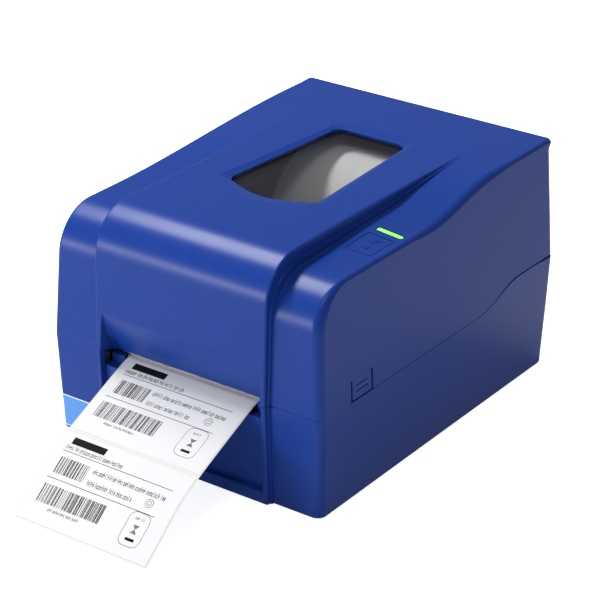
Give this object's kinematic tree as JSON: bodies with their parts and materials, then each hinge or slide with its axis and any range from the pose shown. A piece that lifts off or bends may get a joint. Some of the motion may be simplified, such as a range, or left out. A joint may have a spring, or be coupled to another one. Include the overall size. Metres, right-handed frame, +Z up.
{
  "type": "thermal label printer",
  "caption": "Desktop clamshell thermal-transfer label printer with opening lid, loaded label roll, ribbon carriage and a strip of labels leaving the front slot.",
  "frame": {"origin": "centre of the bounding box, label strip included, on the surface that the printer stands on", "axes": "+X to the right seen from the front, +Y from the front (label exit) to the back (lid hinge), +Z up"},
  "size_m": [0.2076, 0.3828, 0.164],
  "materials": {
    "blue_plastic": "satin fine-textured moulding",
    "smoked_window": "clear smoked plastic, polished",
    "grey_plastic": "satin moulding",
    "black_plastic": "satin moulding",
    "rubber": "matte",
    "steel": "bright plated",
    "aluminium": "extruded",
    "white_nylon": "natural nylon",
    "ribbon_film": "glossy ink film",
    "white_paper": "coated label paper, stood in by matte plastic",
    "liner_paper": "glassine backing paper, stood in by matte plastic",
    "card": "wound cardboard",
    "board": "solder-masked board",
    "green_light": "frosted light pipe"
  },
  "bodies": {
    "base": {"lower_housing": "blue_plastic", "bottom_plate": "black_plastic", "foot_front_left": "rubber", "foot_front_right": "rubber", "foot_rear_left": "rubber", "foot_rear_right": "rubber", "screw_left": "steel", "screw_right": "steel", "front_panel": "blue_plastic", "inner_cover_left": "grey_plastic", "inner_cover_right": "grey_plastic", "side_plate_left": "steel", "side_plate_right": "steel", "platen_bush_left": "white_nylon", "platen_bush_right": "white_nylon", "media_tray": "grey_plastic", "tear_bar": "steel", "stepper_motor": "black_plastic", "main_board": "board", "power_inlet": "black_plastic", "usb_port": "steel", "switch_body": "black_plastic", "hinge_pin_left": "steel", "hinge_pin_right": "steel", "liner_web": "liner_paper", "label_front": "white_paper", "label_rear": "white_paper"},
    "lid": {"lid_shell": "blue_plastic", "window": "smoked_window", "control_board": "board", "status_light": "green_light"},
    "feed_button": {"feed_button": "blue_plastic"},
    "tab_left": {"lid_tab_left": "blue_plastic"},
    "tab_right": {"lid_tab_right": "blue_plastic"},
    "carriage": {"carriage_frame": "grey_plastic", "carriage_pin_left": "steel", "carriage_pin_right": "steel", "print_head": "black_plastic", "head_heatsink": "aluminium", "ribbon_film": "ribbon_film"},
    "ribbon_supply": {"ribbon_supply": "ribbon_film", "ribbon_supply_core": "white_nylon"},
    "ribbon_rewind": {"ribbon_rewind": "ribbon_film", "ribbon_rewind_core": "white_nylon"},
    "platen": {"platen_shaft": "steel", "platen_roller": "rubber", "platen_gear": "white_nylon"},
    "idler": {"idler_gear": "white_nylon"},
    "motor_pinion": {"motor_pinion": "steel"},
    "media_roll": {"label_roll": "white_paper", "roll_core": "card", "roll_spindle": "grey_plastic", "roll_tab_left": "grey_plastic", "roll_tab_right": "grey_plastic"},
    "guide_left": {"media_guide_left": "grey_plastic"},
    "guide_right": {"media_guide_right": "grey_plastic"},
    "guide_pinion": {"guide_pinion": "white_nylon"},
    "sensor": {"sensor_slider": "black_plastic"},
    "rocker": {"power_switch": "black_plastic"}
  },
  "joints": [
    {"name": "lid_hinge", "type": "hinge", "parent": "base", "child": "lid", "pos_m": [0, 0.1884, 0.0823], "axis": [-1, 0, 0], "range_deg": [0, 85]},
    {"name": "carriage_lift", "type": "hinge", "parent": "base", "child": "carriage", "pos_m": [0, 0.0544, 0.095], "axis": [-1, 0, 0], "range_deg": [0, 48]},
    {"name": "tab_left_press", "type": "hinge", "parent": "lid", "child": "tab_left", "pos_m": [-0.10299, -0.0447, 0.0842], "axis": [0, -1, 0], "range_deg": [0, 5], "stiffness_Nm_per_rad": 0.2, "springref_deg": -5.73},
    {"name": "tab_right_press", "type": "hinge", "parent": "lid", "child": "tab_right", "pos_m": [0.10299, -0.0447, 0.0842], "axis": [0, 1, 0], "range_deg": [0, 5], "stiffness_Nm_per_rad": 0.2, "springref_deg": -5.73},
    {"name": "feed_button_press", "type": "slide", "parent": "lid", "child": "feed_button", "axis": [0, 0, -1], "range_m": [0, 0.0008], "stiffness_N_per_m": 400, "springref_m": -0.001},
    {"name": "media_roll_spin", "type": "hinge", "parent": "base", "child": "media_roll", "pos_m": [0, 0.1204, 0.096], "axis": [1, 0, 0], "continuous": true},
    {"name": "platen_spin", "type": "hinge", "parent": "base", "child": "platen", "pos_m": [0, -0.0656, 0.056], "axis": [1, 0, 0], "continuous": true},
    {"name": "idler_spin", "type": "hinge", "parent": "base", "child": "idler", "pos_m": [-0.0725, -0.0456, 0.0407], "axis": [1, 0, 0], "continuous": true},
    {"name": "motor_spin", "type": "hinge", "parent": "base", "child": "motor_pinion", "pos_m": [-0.0725, -0.0262, 0.035], "axis": [1, 0, 0], "continuous": true},
    {"name": "supply_spin", "type": "hinge", "parent": "carriage", "child": "ribbon_supply", "pos_m": [0, 0.0014, 0.118], "axis": [1, 0, 0], "continuous": true},
    {"name": "rewind_spin", "type": "hinge", "parent": "carriage", "child": "ribbon_rewind", "pos_m": [0, -0.0456, 0.122], "axis": [1, 0, 0], "continuous": true},
    {"name": "guide_right_slide", "type": "slide", "parent": "base", "child": "guide_right", "axis": [1, 0, 0], "range_m": [0, 0.004]},
    {"name": "guide_left_slide", "type": "slide", "parent": "base", "child": "guide_left", "axis": [-1, 0, 0], "range_m": [0, 0.004]},
    {"name": "guide_pinion_spin", "type": "hinge", "parent": "base", "child": "guide_pinion", "pos_m": [0, 0.0124, 0.058], "axis": [0, 0, 1], "range_deg": [-40, 0]},
    {"name": "sensor_slide", "type": "slide", "parent": "base", "child": "sensor", "axis": [1, 0, 0], "range_m": [-0.038, 0.038]},
    {"name": "power_rocker", "type": "hinge", "parent": "base", "child": "rocker", "pos_m": [-0.066, 0.1834, 0.027], "axis": [1, 0, 0], "range_deg": [0, 8]}
  ],
  "couplings": [
    {"joint": "carriage_lift", "follows": "lid_hinge", "ratio": 0.55},
    {"joint": "platen_spin", "follows": "media_roll_spin", "ratio": 6.5},
    {"joint": "idler_spin", "follows": "media_roll_spin", "ratio": -4.3333},
    {"joint": "motor_spin", "follows": "media_roll_spin", "ratio": 13},
    {"joint": "supply_spin", "follows": "media_roll_spin", "ratio": -1.9259},
    {"joint": "rewind_spin", "follows": "media_roll_spin", "ratio": -3.25},
    {"joint": "guide_left_slide", "follows": "guide_right_slide", "ratio": 1},
    {"joint": "guide_pinion_spin", "follows": "guide_right_slide", "rad_per_m": -166.67}
  ]
}
